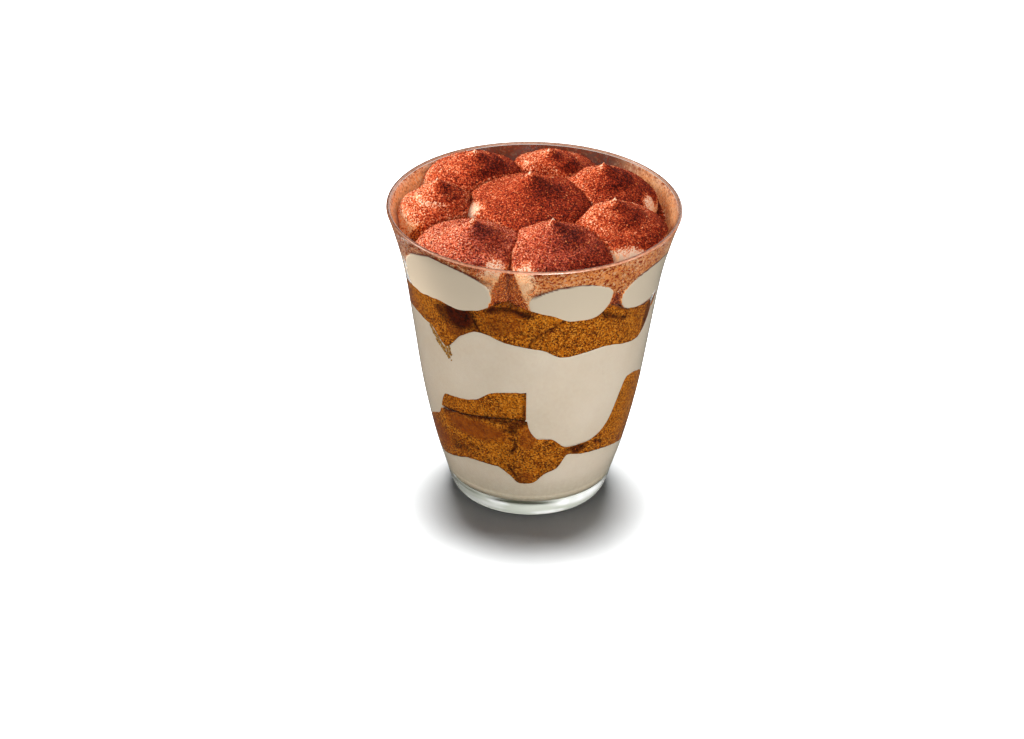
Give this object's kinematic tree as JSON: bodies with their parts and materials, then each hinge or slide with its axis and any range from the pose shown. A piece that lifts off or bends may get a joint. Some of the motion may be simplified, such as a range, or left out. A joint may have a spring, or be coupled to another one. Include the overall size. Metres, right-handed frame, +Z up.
{
  "type": "tiramisu in a clear tumbler",
  "caption": "Layered tiramisu in a clear flared tumbler: soaked sponge fingers and cream in turns, topped with cocoa-dusted piped cream dollops.",
  "frame": {"origin": "middle of the tumbler's foot, on the surface it stands on", "axes": "+Z up along the tumbler's axis, -Y towards the front"},
  "size_m": [0.0898, 0.09, 0.1048],
  "materials": {
    "clear_glass": "clear, smooth and glossy, faintly green at the thick base",
    "cream": "smooth satin mascarpone cream, pressed flat on the glass",
    "sponge": "golden-brown soaked sponge with fine dark pores and crumbs",
    "soaked_sponge": "dark reddish-brown sponge soaked with coffee, slightly wet",
    "cocoa_dusted_cream": "piped cream under a dry, grainy coat of red-brown cocoa powder"
  },
  "bodies": {
    "root": {"cup": "clear_glass", "cream_bottom": "cream", "cream_middle": "cream", "sponge_lower_left": "soaked_sponge", "sponge_lower_front": "sponge", "sponge_lower_right": "sponge", "sponge_lower_back": "sponge", "sponge_lower_short": "sponge", "sponge_upper_left": "sponge", "sponge_upper_front": "sponge", "sponge_upper_right": "sponge", "sponge_upper_back_right": "sponge", "sponge_upper_back_left": "sponge", "dollop_front": "cocoa_dusted_cream", "dollop_front_right": "cocoa_dusted_cream", "dollop_back_right": "cocoa_dusted_cream", "dollop_back": "cocoa_dusted_cream", "dollop_back_left": "cocoa_dusted_cream", "dollop_left": "cocoa_dusted_cream", "dollop_front_left": "cocoa_dusted_cream", "dollop_middle": "cocoa_dusted_cream"}
  },
  "joints": []
}
